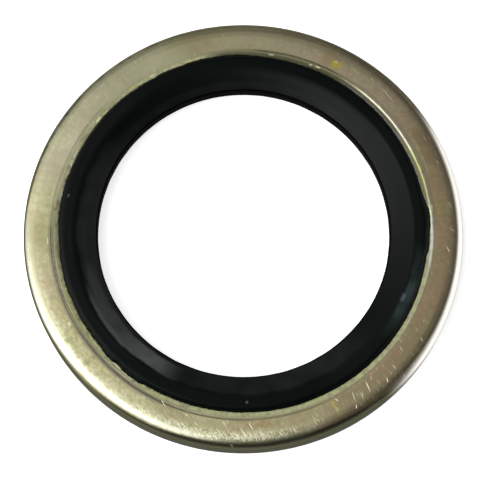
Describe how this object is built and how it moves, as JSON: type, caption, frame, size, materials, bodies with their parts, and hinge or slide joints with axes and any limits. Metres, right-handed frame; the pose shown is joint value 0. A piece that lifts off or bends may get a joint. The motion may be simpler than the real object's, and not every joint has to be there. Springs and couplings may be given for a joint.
{
  "type": "bonded sealing washer",
  "caption": "Bonded sealing washer: a stamped zinc-plated steel ring with a moulded black rubber bead bonded into its bore.",
  "frame": {"origin": "on the axis, at the height of the lower rubber crest that the washer lies on", "axes": "+Z along the bore axis, towards the side with the rounded outer edge; X and Y across the ring"},
  "size_m": [0.022, 0.022, 0.0019],
  "materials": {
    "zinc_plated_steel": "zinc plate with faded yellow passivate, satin",
    "nitrile_rubber": "smooth moulded black rubber, satin"
  },
  "bodies": {
    "root": {"steel_ring": "zinc_plated_steel", "rubber_seal": "nitrile_rubber"}
  },
  "joints": []
}
